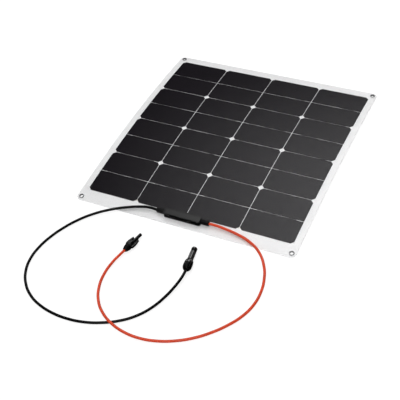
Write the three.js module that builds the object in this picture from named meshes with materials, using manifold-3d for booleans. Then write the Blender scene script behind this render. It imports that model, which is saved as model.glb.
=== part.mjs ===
// A flexible solar sheet: 32 half cells laminated between a white back sheet and a clear film, gently
// bowed from front to back, with four eyelets, a slim junction box and two leads that end in plugs.
//
// Millimetres, +Z up. The origin is the middle of the sheet, on the surface that it lies on.
// +X runs to the right along the front edge, where the junction box is, and +Y runs to the back.
import * as THREE from "three";
import { mergeVertices } from "three/addons/utils/BufferGeometryUtils.js";
import Module from "manifold-3d";

const wasm = await Module();
wasm.setup();

// ---- Driving dimensions ------------------------------------------------------------------------

const SHEET_WIDTH = 538;
const SHEET_DEPTH = 562;
const SHEET_CORNER_RADIUS = 12;
const BOW_RISE = 14; // how far the middle stands above the front and back edges

const CELL_COLUMNS = 4;
const HALF_CELL_ROWS = 8;
const CELL_WIDTH = 125.5;
const HALF_CELL_DEPTH = 62;
const COLUMN_GAP = 1.5;
const ROW_GAP = 1.5;
const CELL_CORNER_CUT = 6.5;
const FRONT_MARGIN = 33.5;

// Each layer's underside and upper face, measured up from the sheet's underside.
const BACK_SHEET = { low: 0, high: 1.0 };
const ENCAPSULANT = { low: 1.05, high: 2.0 };
const RIBBON = { low: 1.2, high: 1.4 };
const CELL = { low: 1.55, high: 1.95 };
const FRONT_FILM = { low: 2.05, high: 2.5 };
const SHEET_THICKNESS = FRONT_FILM.high;

const FIT_GAP = 0.3; // between pieces that touch in a turned group
const POCKET_GAP = 0.2; // round a cell or a ribbon in the encapsulant

const EYELET_INSET = 10.5;
const EYELET_HOLE_RADIUS = 4;
const EYELET_BARREL_RADIUS = 4.6;
const EYELET_FLANGE_RADIUS = 6;
const EYELET_TOP_THICKNESS = 0.7;
const EYELET_BOTTOM_THICKNESS = 0.4;
const EYELET_TOP_CHAMFER = 0.4;
const EYELET_SEAT_RADIUS = 5.1; // the hole through the laminate

const BOX_LENGTH = 89;
const BOX_WIDTH = 18;
const BOX_CENTRE_X = -2;
const BOX_CENTRE_Y = -257.5;
const BOX_CORNER_CUT = 4;
const BOX_WALL = 2;
const BOX_FLOOR = 1.5;
const BASE_HEIGHT = 8.9;
const SEAL_THICKNESS = 0.4;
const SEAL_WIDTH = 1.2;
const COVER_THICKNESS = 2.3;
const COVER_LIP_DEPTH = 2;
const COVER_LIP_WALL = 0.9;
const COVER_EDGE = 0.8;
const GLAND_AXIS_HEIGHT = 5.6; // above the film
const GLAND_LENGTH = 20;
const GLAND_WIDTH = 9;
const GLAND_HEIGHT = 10.6;
const GLAND_CORNER_RADIUS = 2.5;
const GLAND_STEP = 0.8; // how much slimmer a gland is at its root and at its tip
const GLAND_ROOT_LENGTH = 1.5;
const GLAND_TIP_LENGTH = 2;
const GLAND_BORE_RADIUS = 2;
const GLAND_SPIGOT_RADIUS = 3;

const LEAD_DIAMETER = 6;
const LEAD_SIDES = 8;
const LEAD_STEP = 14;
const CONDUCTOR_RADIUS = 1.3;

const PROBE_PLUG_LENGTH = 55;
const PROBE_PLUG_AXIS_HEIGHT = 8.1;
const PROBE_PLUG_HEADING = 77.2;
const PROBE_PLUG_TAIL = new THREE.Vector3(-78.9, -387.5, PROBE_PLUG_AXIS_HEIGHT);

const SHELL_PLUG_LENGTH = 64.5;
const SHELL_PLUG_HEADING = 99.4;
const SHELL_PLUG_NOSE_DOWN = 4.21;
const SHELL_PLUG_TAIL = new THREE.Vector3(72.2, -393.6, 11.04);

// ---- Materials ---------------------------------------------------------------------------------

const matter = (color, roughness, metalness = 0) =>
  new THREE.MeshStandardMaterial({ color, roughness, metalness });

const WHITE_LAMINATE = matter("#eceef0", 0.45);
const CLEAR_ENCAPSULANT = matter("#e4e8ea", 0.3);
const CLEAR_FILM = new THREE.MeshStandardMaterial({
  color: "#f4f6f8",
  roughness: 0.08,
  transparent: true,
  opacity: 0.25,
});
const SILICON = matter("#1b1c20", 0.25);
const TINNED_COPPER = matter("#c9c6bf", 0.35, 0.9);
const NICKEL = matter("#b9bbbd", 0.25, 1);
const BLACK_PLASTIC = matter("#111214", 0.4);
const BLACK_RUBBER = matter("#0c0c0d", 0.7);
const RED_JACKET = matter("#e0452c", 0.5);
const BLACK_JACKET = matter("#121212", 0.5);

// ---- Solids ------------------------------------------------------------------------------------

/** The geometry as a solid that can be joined and cut. */
function solidOf(geometry) {
  const bare = geometry.clone();
  bare.deleteAttribute("normal");
  bare.deleteAttribute("uv");
  const merged = mergeVertices(bare, 1e-4);
  return new wasm.Manifold(
    new wasm.Mesh({
      numProp: 3,
      vertProperties: merged.getAttribute("position").array,
      triVerts: new Uint32Array(merged.getIndex().array),
    }),
  );
}

/** The solid as a geometry for a mesh. */
function geometryOf(solid) {
  const mesh = solid.getMesh();
  const geometry = new THREE.BufferGeometry();
  geometry.setAttribute("position", new THREE.BufferAttribute(mesh.vertProperties.slice(), 3));
  geometry.setIndex(new THREE.BufferAttribute(mesh.triVerts.slice(), 1));
  geometry.computeVertexNormals();
  return geometry;
}

const join = (first, ...others) => others.reduce((sum, next) => sum.add(next), first);
const cut = (first, ...others) => others.reduce((rest, next) => rest.subtract(next), first);

/** A plan outline pulled up from one height to another. */
function prism(outline, low, high, curveSegments = 8) {
  const depth = high - low;
  const geometry = new THREE.ExtrudeGeometry(outline, { depth, bevelEnabled: false, curveSegments });
  return solidOf(geometry.translate(0, 0, low));
}

/** A turn that lays a drawing's own axes along Y and Z, so that it is pulled along X. */
const ALONG_X = new THREE.Matrix4().makeBasis(
  new THREE.Vector3(0, 1, 0),
  new THREE.Vector3(0, 0, 1),
  new THREE.Vector3(1, 0, 0),
);

/** An outline drawn in Y and Z, pulled along X from one place to another. */
function prismAlongX(outline, from, to, curveSegments = 4) {
  const depth = to - from;
  const geometry = new THREE.ExtrudeGeometry(outline, { depth, bevelEnabled: false, curveSegments });
  return solidOf(geometry.applyMatrix4(ALONG_X).translate(from, 0, 0));
}

/** A box between two corners. */
function block([x0, y0, z0], [x1, y1, z1]) {
  const geometry = new THREE.BoxGeometry(x1 - x0, y1 - y0, z1 - z0);
  return solidOf(geometry.translate((x0 + x1) / 2, (y0 + y1) / 2, (z0 + z1) / 2));
}

/** A profile of [along, radius] points, turned about +X. */
function turned(profile, segments = 20) {
  const points = profile.map(([along, radius]) => new THREE.Vector2(radius, along));
  return solidOf(new THREE.LatheGeometry(points, segments).rotateZ(-Math.PI / 2));
}

/** A tube between two places along +X: a ring with an outer and an inner radius. */
function ring(from, to, outer, inner, segments = 20) {
  const profile = [[from, inner], [from, outer], [to, outer], [to, inner], [from, inner]];
  return turned(profile, segments);
}

/** A rod along +X. */
function rod(from, to, radius, segments = 16) {
  return turned([[from, 0], [from, radius], [to, radius], [to, 0]], segments);
}

function polygon(points) {
  return new THREE.Shape(points.map(([x, y]) => new THREE.Vector2(x, y)));
}

/** A rectangle about a centre, with cut corners. */
function cutRectangle(length, width, corner) {
  const x = length / 2;
  const y = width / 2;
  return polygon([
    [corner - x, -y],
    [x - corner, -y],
    [x, corner - y],
    [x, y - corner],
    [x - corner, y],
    [corner - x, y],
    [-x, y - corner],
    [-x, corner - y],
  ]);
}

/** A rectangle about the origin, with round corners. */
function roundRectangle(width, depth, radius) {
  const x = width / 2;
  const y = depth / 2;
  const shape = new THREE.Shape();
  shape.moveTo(radius - x, -y);
  shape.absarc(x - radius, radius - y, radius, -Math.PI / 2, 0);
  shape.absarc(x - radius, y - radius, radius, 0, Math.PI / 2);
  shape.absarc(radius - x, y - radius, radius, Math.PI / 2, Math.PI);
  shape.absarc(radius - x, radius - y, radius, Math.PI, Math.PI * 1.5);
  return shape;
}

// ---- The bow -----------------------------------------------------------------------------------

const HALF_DEPTH = SHEET_DEPTH / 2;
const CELLS_FRONT = FRONT_MARGIN - HALF_DEPTH;
const ROW_PITCH = HALF_CELL_DEPTH + ROW_GAP;
const COLUMN_PITCH = CELL_WIDTH + COLUMN_GAP;
const CELLS_LEFT = (COLUMN_GAP - CELL_COLUMNS * COLUMN_PITCH) / 2;

/** Where the sheet folds from one flat strip to the next: its two edges, and between the rows. */
const FOLDS = [-HALF_DEPTH];
for (let row = 0; row <= HALF_CELL_ROWS; row += 1) {
  FOLDS.push(CELLS_FRONT - ROW_GAP / 2 + row * ROW_PITCH);
}
FOLDS.push(HALF_DEPTH);

const bow = (y) => BOW_RISE * (1 - (y / HALF_DEPTH) ** 2);

/** The flat strip at y: its slope, and its height at y above the front and back edges. */
function stripAt(y) {
  const next = Math.max(1, FOLDS.findIndex((fold) => fold >= y));
  const start = FOLDS[next - 1];
  const end = FOLDS[next];
  const slope = (bow(end) - bow(start)) / (end - start);
  return { slope, height: bow(start) + slope * (y - start) };
}

const EYELET_Y = HALF_DEPTH - EYELET_INSET;
const EYELET_X = SHEET_WIDTH / 2 - EYELET_INSET;
const EDGE_ANGLE = Math.atan(-stripAt(EYELET_Y).slope);

/** The sheet lies on its eyelets, whose lower flanges stand a little below its underside. */
const UNDERSIDE =
  (FIT_GAP + EYELET_BOTTOM_THICKNESS) * Math.cos(EDGE_ANGLE) +
  EYELET_FLANGE_RADIUS * Math.sin(EDGE_ANGLE) -
  stripAt(EYELET_Y).height;

/** A layer as wide as the sheet that follows the bow, between two heights above the underside. */
function bowedBand(low, high) {
  const overhang = 5;
  const spine = [
    [-HALF_DEPTH - overhang, -overhang * stripAt(-HALF_DEPTH + 1).slope],
    ...FOLDS.map((y) => [y, bow(y)]),
    [HALF_DEPTH + overhang, overhang * stripAt(HALF_DEPTH - 1).slope],
  ];
  const under = spine.map(([y, z]) => [y, z + UNDERSIDE + low]);
  const over = spine.map(([y, z]) => [y, z + UNDERSIDE + high]).reverse();
  const reach = SHEET_WIDTH / 2 + overhang;
  return prismAlongX(polygon([...under, ...over]), -reach, reach);
}

/** The plan outline cut out of a bowed layer. */
function bowedPlate(outline, low, high) {
  const margin = BOW_RISE + SHEET_THICKNESS + 5;
  return bowedBand(low, high).intersect(prism(outline, -margin, margin));
}

/** A group that stands on the film at a place, square to the sheet there. */
function groupOnFilm(x, y) {
  const { slope, height } = stripAt(y);
  const group = new THREE.Group();
  group.position.set(x, y, UNDERSIDE + height + SHEET_THICKNESS);
  group.rotation.x = Math.atan(slope);
  return group;
}

// ---- Meshes ------------------------------------------------------------------------------------

const sheet = new THREE.Group();

function addMesh(group, name, solid, material) {
  const mesh = new THREE.Mesh(geometryOf(solid), material);
  mesh.name = name;
  group.add(mesh);
}

// ---- Cells and ribbons -------------------------------------------------------------------------

/** One half cell's outline: square at its cut side, with its two outer corners cut off. */
function halfCellOutline(column, row, grow) {
  const x0 = CELLS_LEFT + column * COLUMN_PITCH - grow;
  const x1 = x0 + CELL_WIDTH + 2 * grow;
  const y0 = CELLS_FRONT + row * ROW_PITCH - grow;
  const y1 = y0 + HALF_CELL_DEPTH + 2 * grow;
  const c = CELL_CORNER_CUT;
  const frontHalf = row % 2 === 0;
  const corners = frontHalf
    ? [[x0 + c, y0], [x1 - c, y0], [x1, y0 + c], [x1, y1], [x0, y1], [x0, y0 + c]]
    : [[x0, y0], [x1, y0], [x1, y1 - c], [x1 - c, y1], [x0 + c, y1], [x0, y1 - c]];
  return polygon(corners);
}

function addCells() {
  for (let row = 0; row < HALF_CELL_ROWS; row += 1) {
    for (let column = 0; column < CELL_COLUMNS; column += 1) {
      const solid = bowedPlate(halfCellOutline(column, row, 0), CELL.low, CELL.high);
      addMesh(sheet, `half_cell_row_${row + 1}_column_${column + 1}`, solid, SILICON);
    }
  }
}

// A ribbon runs under the front row of cells and turns forwards under the junction box, where a tab
// stands up from its end.
const RIBBON_WIDTH = 6;
const RIBBON_RUN_Y = CELLS_FRONT + 6;
const RIBBON_OUTER_X = 190; // from the junction box's middle, as is the next
const RIBBON_INNER_X = 12;
const RIBBON_END_Y = -261;
const TAB_THICKNESS = 0.6;
const TAB_TOP = 2.3; // above the film
const TAB_LOCAL_Y = -1.5; // ahead of the box's centre

function ribbonOutline(side, grow) {
  const inner = RIBBON_INNER_X - grow;
  const elbow = RIBBON_INNER_X + RIBBON_WIDTH + grow;
  const outer = RIBBON_OUTER_X + grow;
  const front = RIBBON_RUN_Y - RIBBON_WIDTH / 2 - grow;
  const back = RIBBON_RUN_Y + RIBBON_WIDTH / 2 + grow;
  const end = RIBBON_END_Y - grow;
  const corners = [[inner, end], [elbow, end], [elbow, front], [outer, front], [outer, back], [inner, back]];
  const placed = corners.map(([x, y]) => [BOX_CENTRE_X + side * x, y]);
  return polygon(side > 0 ? placed : placed.reverse());
}

/** The upright end of a ribbon, or with grow the slot that it passes through. */
function ribbonTab(side, grow) {
  const from = RIBBON_INNER_X - grow;
  const to = RIBBON_INNER_X + RIBBON_WIDTH + grow;
  const xs = [side * from, side * to].sort((a, b) => a - b);
  const y0 = TAB_LOCAL_Y - TAB_THICKNESS / 2 - grow;
  const y1 = TAB_LOCAL_Y + TAB_THICKNESS / 2 + grow;
  const depthToRibbon = SHEET_THICKNESS - (RIBBON.low + RIBBON.high) / 2;
  const standing = new THREE.BoxGeometry(xs[1] - xs[0], y1 - y0, TAB_TOP + depthToRibbon);
  standing.translate((xs[0] + xs[1]) / 2, (y0 + y1) / 2, (TAB_TOP - depthToRibbon) / 2);
  const place = groupOnFilm(BOX_CENTRE_X, BOX_CENTRE_Y);
  place.updateMatrix();
  return solidOf(standing.applyMatrix4(place.matrix));
}

function addRibbons() {
  for (const [name, side] of [["positive_ribbon", 1], ["negative_ribbon", -1]]) {
    const run = bowedPlate(ribbonOutline(side, 0), RIBBON.low, RIBBON.high);
    addMesh(sheet, name, join(run, ribbonTab(side, 0)), TINNED_COPPER);
  }
}

// ---- The laminate ------------------------------------------------------------------------------

function eyeletSeats() {
  const places = [];
  for (const x of [-EYELET_X, EYELET_X]) {
    for (const y of [-EYELET_Y, EYELET_Y]) {
      places.push(new THREE.Path().absarc(x, y, EYELET_SEAT_RADIUS, 0, Math.PI * 2));
    }
  }
  return places;
}

function sheetOutline() {
  const outline = roundRectangle(SHEET_WIDTH, SHEET_DEPTH, SHEET_CORNER_RADIUS);
  outline.holes = eyeletSeats();
  return outline;
}

function addBackSheet() {
  const solid = bowedPlate(sheetOutline(), BACK_SHEET.low, BACK_SHEET.high);
  addMesh(sheet, "back_sheet", solid, WHITE_LAMINATE);
}

/** The encapsulant, with a pocket for each cell and a channel for each ribbon. */
function addEncapsulant() {
  let solid = bowedPlate(sheetOutline(), ENCAPSULANT.low, ENCAPSULANT.high);
  const openTop = ENCAPSULANT.high + 1;
  const pocketFloor = CELL.low - 0.05;
  const channelFloor = RIBBON.low - 0.05;
  for (let row = 0; row < HALF_CELL_ROWS; row += 1) {
    for (let column = 0; column < CELL_COLUMNS; column += 1) {
      const pocket = bowedPlate(halfCellOutline(column, row, POCKET_GAP), pocketFloor, openTop);
      solid = cut(solid, pocket);
    }
  }
  for (const side of [1, -1]) {
    solid = cut(solid, bowedPlate(ribbonOutline(side, POCKET_GAP), channelFloor, openTop));
  }
  addMesh(sheet, "encapsulant", solid, CLEAR_ENCAPSULANT);
}

function addFrontFilm() {
  const film = bowedPlate(sheetOutline(), FRONT_FILM.low, FRONT_FILM.high);
  const solid = cut(film, ribbonTab(1, FIT_GAP), ribbonTab(-1, FIT_GAP));
  addMesh(sheet, "front_film", solid, CLEAR_FILM);
}

// ---- Eyelets -----------------------------------------------------------------------------------

/** A rolled eyelet through the laminate, with a flange above and a flange below. */
function eyelet() {
  const top = FIT_GAP + EYELET_TOP_THICKNESS;
  const bottom = -SHEET_THICKNESS - FIT_GAP - EYELET_BOTTOM_THICKNESS;
  const profile = [
    [bottom, EYELET_HOLE_RADIUS],
    [bottom, EYELET_FLANGE_RADIUS],
    [bottom + EYELET_BOTTOM_THICKNESS, EYELET_FLANGE_RADIUS],
    [bottom + EYELET_BOTTOM_THICKNESS, EYELET_BARREL_RADIUS],
    [FIT_GAP, EYELET_BARREL_RADIUS],
    [FIT_GAP, EYELET_FLANGE_RADIUS],
    [top - EYELET_TOP_CHAMFER, EYELET_FLANGE_RADIUS],
    [top, EYELET_FLANGE_RADIUS - EYELET_TOP_CHAMFER],
    [top, EYELET_HOLE_RADIUS + EYELET_TOP_CHAMFER],
    [top - EYELET_TOP_CHAMFER, EYELET_HOLE_RADIUS],
    [bottom, EYELET_HOLE_RADIUS],
  ];
  const points = profile.map(([along, radius]) => new THREE.Vector2(radius, along));
  return solidOf(new THREE.LatheGeometry(points, 20).rotateX(Math.PI / 2));
}

function addEyelets() {
  for (const [yName, y] of [["front", -EYELET_Y], ["back", EYELET_Y]]) {
    for (const [xName, x] of [["left", -EYELET_X], ["right", EYELET_X]]) {
      const group = groupOnFilm(x, y);
      addMesh(group, `eyelet_${yName}_${xName}`, eyelet(), NICKEL);
      sheet.add(group);
    }
  }
}

// ---- The junction box --------------------------------------------------------------------------
// It is drawn on the film, with its own origin at its middle there and its length along X.

const BASE_BOTTOM = FIT_GAP;
const BASE_TOP = BASE_BOTTOM + BASE_HEIGHT;
const SEAL_BOTTOM = BASE_TOP + FIT_GAP;
const SEAL_TOP = SEAL_BOTTOM + SEAL_THICKNESS;
const COVER_BOTTOM = SEAL_TOP + FIT_GAP;
const CAVITY_LENGTH = BOX_LENGTH - 2 * BOX_WALL;
const CAVITY_WIDTH = BOX_WIDTH - 2 * BOX_WALL;
const CAVITY_CUT = BOX_CORNER_CUT - BOX_WALL / 2;
const GLAND_START = BOX_LENGTH / 2 + FIT_GAP;
const GLAND_END = GLAND_START + GLAND_LENGTH;

const boxOutline = (inset = 0) =>
  cutRectangle(BOX_LENGTH - 2 * inset, BOX_WIDTH - 2 * inset, BOX_CORNER_CUT - inset / 2);
const cavityOutline = (inset = 0) =>
  cutRectangle(CAVITY_LENGTH - 2 * inset, CAVITY_WIDTH - 2 * inset, CAVITY_CUT - inset / 2);

function boxBase() {
  const spigotHole = rod(-BOX_LENGTH, BOX_LENGTH, GLAND_SPIGOT_RADIUS + FIT_GAP);
  const ribbonReach = RIBBON_INNER_X + RIBBON_WIDTH + 2;
  return cut(
    prism(boxOutline(), BASE_BOTTOM, BASE_TOP),
    prism(cavityOutline(), BASE_BOTTOM + BOX_FLOOR, BASE_TOP + 1),
    spigotHole.translate([0, 0, GLAND_AXIS_HEIGHT]),
    block([-ribbonReach, TAB_LOCAL_Y - 2, -1], [ribbonReach, TAB_LOCAL_Y + 2, BASE_BOTTOM + BOX_FLOOR + 1]),
  );
}

/** The seal lies along the middle of the base's walls. */
function coverSeal() {
  const inset = (BOX_WALL - SEAL_WIDTH) / 2;
  return cut(
    prism(boxOutline(inset), SEAL_BOTTOM, SEAL_TOP),
    prism(boxOutline(inset + SEAL_WIDTH), SEAL_BOTTOM - 1, SEAL_TOP + 1),
  );
}

/** The cover: a plate with a sloped edge, and a lip that goes down inside the base's walls. */
function boxCover() {
  const plate = new THREE.ExtrudeGeometry(boxOutline(COVER_EDGE), {
    depth: COVER_THICKNESS - COVER_EDGE,
    bevelThickness: COVER_EDGE,
    bevelSize: COVER_EDGE,
    bevelSegments: 1,
  });
  const belowCover = block([-BOX_LENGTH, -BOX_WIDTH, 0], [BOX_LENGTH, BOX_WIDTH, COVER_BOTTOM]);
  const lip = cut(
    prism(cavityOutline(FIT_GAP), COVER_BOTTOM - COVER_LIP_DEPTH, COVER_BOTTOM + 0.5),
    prism(cavityOutline(FIT_GAP + COVER_LIP_WALL), 0, COVER_BOTTOM),
  );
  return join(cut(solidOf(plate.translate(0, 0, COVER_BOTTOM)), belowCover), lip);
}

/** The blocky neck that a lead comes out of, with a spigot through the box's end wall. */
function gland() {
  const spigotStart = BOX_LENGTH / 2 - BOX_WALL;
  const blockStart = GLAND_START + GLAND_ROOT_LENGTH;
  const blockEnd = GLAND_END - GLAND_TIP_LENGTH;
  const slimWidth = GLAND_WIDTH - GLAND_STEP;
  const slimHeight = GLAND_HEIGHT - GLAND_STEP;
  const body = join(
    prismAlongX(roundRectangle(GLAND_WIDTH, GLAND_HEIGHT, GLAND_CORNER_RADIUS), blockStart, blockEnd),
    prismAlongX(roundRectangle(slimWidth, slimHeight, GLAND_CORNER_RADIUS), GLAND_START, GLAND_END),
    rod(spigotStart, blockStart, GLAND_SPIGOT_RADIUS),
  );
  const bore = rod(spigotStart - 1, GLAND_END + 1, GLAND_BORE_RADIUS);
  return cut(body, bore).translate([0, 0, GLAND_AXIS_HEIGHT]);
}

const TERMINAL_BOTTOM = TAB_TOP + FIT_GAP;
const TERMINAL_TOP = TERMINAL_BOTTOM + 0.8;

/** A terminal: a plate over the ribbon's tab, a crimp, and the lead's conductor. */
function terminal() {
  const plate = block([RIBBON_INNER_X, -4, TERMINAL_BOTTOM], [32, 4, TERMINAL_TOP]);
  const neck = block([31, -1.5, TERMINAL_BOTTOM], [36, 1.5, GLAND_AXIS_HEIGHT]);
  const crimp = rod(34, 41, CONDUCTOR_RADIUS + 0.7).translate([0, 0, GLAND_AXIS_HEIGHT]);
  const conductor = rod(40, GLAND_END - 1, CONDUCTOR_RADIUS).translate([0, 0, GLAND_AXIS_HEIGHT]);
  return join(plate, neck, crimp, conductor);
}

/** The bypass diode: a moulded body with a flat lead to each terminal. */
function bypassDiode() {
  const leadBottom = TERMINAL_TOP + FIT_GAP;
  const body = block([-6, -3.5, leadBottom - 1], [6, 3.5, leadBottom + 1.6]);
  const leads = block([-17, -1, leadBottom], [17, 1, leadBottom + 0.5]);
  return join(body, leads);
}

function addJunctionBox() {
  const box = groupOnFilm(BOX_CENTRE_X, BOX_CENTRE_Y);
  const flip = new THREE.Group();
  flip.rotation.z = Math.PI;
  box.add(flip);
  addMesh(box, "junction_box_base", boxBase(), BLACK_PLASTIC);
  addMesh(box, "cover_seal", coverSeal(), BLACK_RUBBER);
  addMesh(box, "junction_box_cover", boxCover(), BLACK_PLASTIC);
  addMesh(box, "bypass_diode", bypassDiode(), BLACK_PLASTIC);
  addMesh(box, "positive_gland", gland(), BLACK_RUBBER);
  addMesh(flip, "negative_gland", gland(), BLACK_RUBBER);
  addMesh(box, "positive_terminal", terminal(), TINNED_COPPER);
  addMesh(flip, "negative_terminal", terminal(), TINNED_COPPER);
  sheet.add(box);
}

// ---- The leads ---------------------------------------------------------------------------------
// Each route starts at a gland's end, leaves straight, comes down to the surface that the sheet lies
// on and ends at a plug's tail. The positive lead passes over the negative one in a long low hump.

const POSITIVE_ROUTE = [
  [63.1, -258, 10.6],
  [80, -258, 10.6],
  [100, -259.5, 9.9],
  [132, -264.5, 8.8],
  [165, -274.5, 7.4],
  [194, -293, 5.8],
  [216.5, -321, 4.2],
  [231, -353.5, 3.4],
  [238, -388, 3.1],
  [237, -423, 3.1],
  [227, -456, 3.1],
  [209, -486.5, 3.1],
  [186, -514, 3.1],
  [159, -538, 3.1],
  [128, -557, 3.1],
  [94, -570.5, 3.4],
  [59, -577.5, 4.8],
  [24, -577, 7.4],
  [-9.5, -568, 9.6],
  [-39, -551, 9.2],
  [-64.5, -525.5, 6],
  [-82.5, -493, 3.8],
  [-90.5, -458, 3.3],
  [-88.5, -423.5, 5.5],
  [-83.6, -405.5, 7.5],
  [-80.7, -394.8, 8.1],
  [-79, -387.8, 8.1],
];

const NEGATIVE_ROUTE = [
  [-67.1, -258, 10.6],
  [-84, -257.4, 11.1],
  [-106, -261.3, 10.1],
  [-139, -273.3, 8.3],
  [-171, -290.5, 6.6],
  [-200, -312, 5],
  [-225, -339, 3.7],
  [-244.5, -370.5, 3.2],
  [-258.5, -404, 3.1],
  [-266.5, -438.5, 3.1],
  [-267, -473.5, 3.1],
  [-257.5, -507.5, 3.1],
  [-237.5, -538, 3.1],
  [-209, -562, 3.1],
  [-176, -577, 3.1],
  [-140, -585, 3.1],
  [-104, -586.5, 3.1],
  [-68, -582, 3.1],
  [-33.5, -571, 3.1],
  [-1, -554, 3.1],
  [26, -531, 3.1],
  [46.5, -501.5, 3.4],
  [60.5, -468, 5],
  [69, -438.5, 8.2],
  [72.6, -418.5, 10.6],
  [73.2, -402.5, 11.6],
  [72.3, -393.9, 11.1],
];

/** A lead: a tube along its route. */
function lead(route) {
  const curve = new THREE.CatmullRomCurve3(route.map((point) => new THREE.Vector3(...point)));
  const section = new THREE.Shape();
  for (let side = 0; side < LEAD_SIDES; side += 1) {
    const angle = (side / LEAD_SIDES) * Math.PI * 2;
    const x = (Math.cos(angle) * LEAD_DIAMETER) / 2;
    const y = (Math.sin(angle) * LEAD_DIAMETER) / 2;
    if (side === 0) section.moveTo(x, y);
    else section.lineTo(x, y);
  }
  const steps = Math.round(curve.getLength() / LEAD_STEP);
  return solidOf(new THREE.ExtrudeGeometry(section, { steps, extrudePath: curve, bevelEnabled: false }));
}

function addLeads() {
  addMesh(sheet, "positive_lead", lead(POSITIVE_ROUTE), RED_JACKET);
  addMesh(sheet, "negative_lead", lead(NEGATIVE_ROUTE), BLACK_JACKET);
}

// ---- The plugs ---------------------------------------------------------------------------------
// Each is drawn along +X, with its tail, where the lead goes in, at the origin.

function plugGroup(tail, headingDegrees, noseDownDegrees) {
  const group = new THREE.Group();
  group.position.copy(tail);
  group.rotation.order = "ZYX";
  group.rotation.z = THREE.MathUtils.degToRad(headingDegrees);
  group.rotation.y = THREE.MathUtils.degToRad(noseDownDegrees);
  return group;
}

/** Grip ribs: shallow grooves along a nut, cut all round it. */
function gripGrooves(count, from, to, radius) {
  const grooves = [];
  for (let index = 0; index < count; index += 1) {
    const groove = block([from, -0.7, radius - 0.6], [to, 0.7, radius + 2]);
    grooves.push(groove.rotate([(index / count) * 360, 0, 0]));
  }
  return grooves;
}

const NUT_BORE_RADIUS = 3.5;
const COLLAR_RADIUS = 5.6; // the threaded collar that a nut screws onto
const COLLAR_START = 6;

function probePlugNut() {
  const outside = 7.9;
  const shell = turned([
    [0, NUT_BORE_RADIUS],
    [0, 5],
    [5, 6.6],
    [10, outside],
    [14, outside],
    [14, COLLAR_RADIUS + FIT_GAP],
    [COLLAR_START - FIT_GAP, COLLAR_RADIUS + FIT_GAP],
    [COLLAR_START - 2, NUT_BORE_RADIUS],
    [0, NUT_BORE_RADIUS],
  ]);
  return cut(shell, ...gripGrooves(10, 5, 15, outside));
}

const PROBE_RADIUS = 3.6;
const PROBE_BORE_RADIUS = 2.8;
const SHOULDER_START = 14.3;
const FINGER_START = 22;
const FINGER_END = 39;
const FINGER_INSIDE = 6.1; // from the plug's axis to the finger's inner side
const FINGER_OUTSIDE = 10.6;
const FINGER_HALF_HEIGHT = 3;

/** The housing of the plug with a probe: a collar, a shoulder with a wing each side, and the probe. */
function probePlugHousing() {
  const body = turned([
    [COLLAR_START, PROBE_BORE_RADIUS],
    [COLLAR_START, COLLAR_RADIUS],
    [SHOULDER_START, COLLAR_RADIUS],
    [SHOULDER_START, 8],
    [24, 8],
    [28, 7.2],
    [28, PROBE_RADIUS],
    [PROBE_PLUG_LENGTH - 0.6, PROBE_RADIUS],
    [PROBE_PLUG_LENGTH, PROBE_RADIUS - 0.5],
    [PROBE_PLUG_LENGTH, PROBE_BORE_RADIUS],
    [COLLAR_START, PROBE_BORE_RADIUS],
  ]);
  const wingEnd = FINGER_START - FIT_GAP;
  const outline = polygon([
    [SHOULDER_START, 5],
    [wingEnd, 5],
    [wingEnd, FINGER_OUTSIDE],
    [SHOULDER_START + 3, FINGER_OUTSIDE - 0.3],
    [SHOULDER_START, 8.6],
  ]);
  const wing = prism(outline, -FINGER_HALF_HEIGHT, FINGER_HALF_HEIGHT);
  const slotHalfHeight = FINGER_HALF_HEIGHT + FIT_GAP;
  const slot = block([wingEnd, FINGER_INSIDE - 0.5, -slotHalfHeight], [29, 9, slotHalfHeight]);
  const onOtherSide = (solid) => solid.rotate([180, 0, 0]);
  return cut(join(body, wing, onOtherSide(wing)), slot, onOtherSide(slot));
}

/** One latch finger, on the +Y side: a springy arm that tapers to its tip. */
function latchFinger() {
  const outline = polygon([
    [FINGER_START, FINGER_INSIDE],
    [FINGER_END, FINGER_INSIDE],
    [FINGER_END, 7.2],
    [FINGER_END - 3, 8.2],
    [FINGER_START + 4, FINGER_OUTSIDE],
    [FINGER_START, FINGER_OUTSIDE],
  ]);
  return prism(outline, -FINGER_HALF_HEIGHT, FINGER_HALF_HEIGHT);
}

/** The hollow contact inside the probe. */
function socketContact() {
  return join(ring(26, PROBE_PLUG_LENGTH - 2, 2.5, 2), ring(8, 26.5, 2.5, 1.2));
}

/** The sealing ring at the foot of the probe. */
function probeSeal() {
  return ring(28.3, 30.5, 4.6, PROBE_RADIUS + 0.1);
}

function addProbePlug() {
  const plug = plugGroup(PROBE_PLUG_TAIL, PROBE_PLUG_HEADING, 0);
  const mirrored = new THREE.Group();
  mirrored.rotation.x = Math.PI;
  plug.add(mirrored);
  addMesh(plug, "probe_plug_nut", probePlugNut(), BLACK_PLASTIC);
  addMesh(plug, "probe_plug_housing", probePlugHousing(), BLACK_PLASTIC);
  addMesh(plug, "probe_plug_finger_left", latchFinger(), BLACK_PLASTIC);
  addMesh(mirrored, "probe_plug_finger_right", latchFinger(), BLACK_PLASTIC);
  addMesh(plug, "probe_plug_contact", socketContact(), TINNED_COPPER);
  addMesh(plug, "probe_plug_seal", probeSeal(), BLACK_RUBBER);
  sheet.add(plug);
}

const BARREL_RADIUS = 6.3;
const BARREL_BORE_RADIUS = 4.8;
const BARREL_BORE_START = 34;
const MOUTH_RADIUS = 3.9;
const MOUTH_DEPTH = 4;
const SHELL_WINDOW_LENGTH = 4.2;
const SHELL_WINDOW_HALF_WIDTH = 4.2;
const SHELL_WINDOW_FROM_TIP = 6.6;
const SHELL_WINDOW_TILT = 40; // from straight up, towards the left
const PIN_RADIUS = 2;
const PIN_END = 54;

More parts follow.
